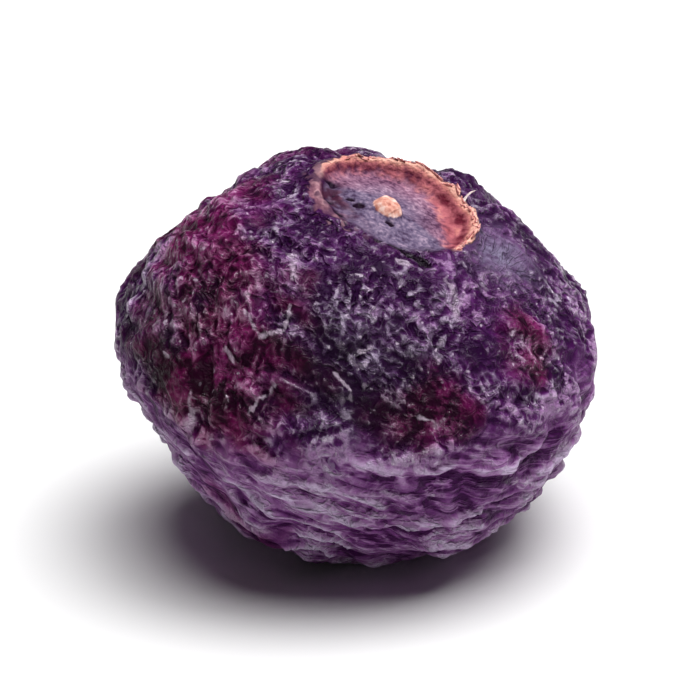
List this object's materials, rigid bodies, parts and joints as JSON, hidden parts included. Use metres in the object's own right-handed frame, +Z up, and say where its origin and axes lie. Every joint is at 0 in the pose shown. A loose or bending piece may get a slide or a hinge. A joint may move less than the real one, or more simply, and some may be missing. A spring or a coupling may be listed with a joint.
{
  "type": "freeze-dried blueberry",
  "caption": "Whole freeze-dried blueberry: a wrinkled, slightly flattened ball with a round calyx scar on top and a small stem scar below.",
  "frame": {"origin": "on the small flat spot that the fruit rests on, straight below its middle", "axes": "+Z up from the surface; the fruit's axis leans 20 degrees from +Z towards +X and a little towards -Y, so the calyx scar faces up and to that side; -Y faces the picture's camera"},
  "size_m": [0.0143, 0.0142, 0.0116],
  "materials": {
    "skin": "dry, finely wrinkled fruit skin, deep violet with a dusty lavender sheen"
  },
  "bodies": {
    "root": {"blueberry": "skin"}
  },
  "joints": []
}
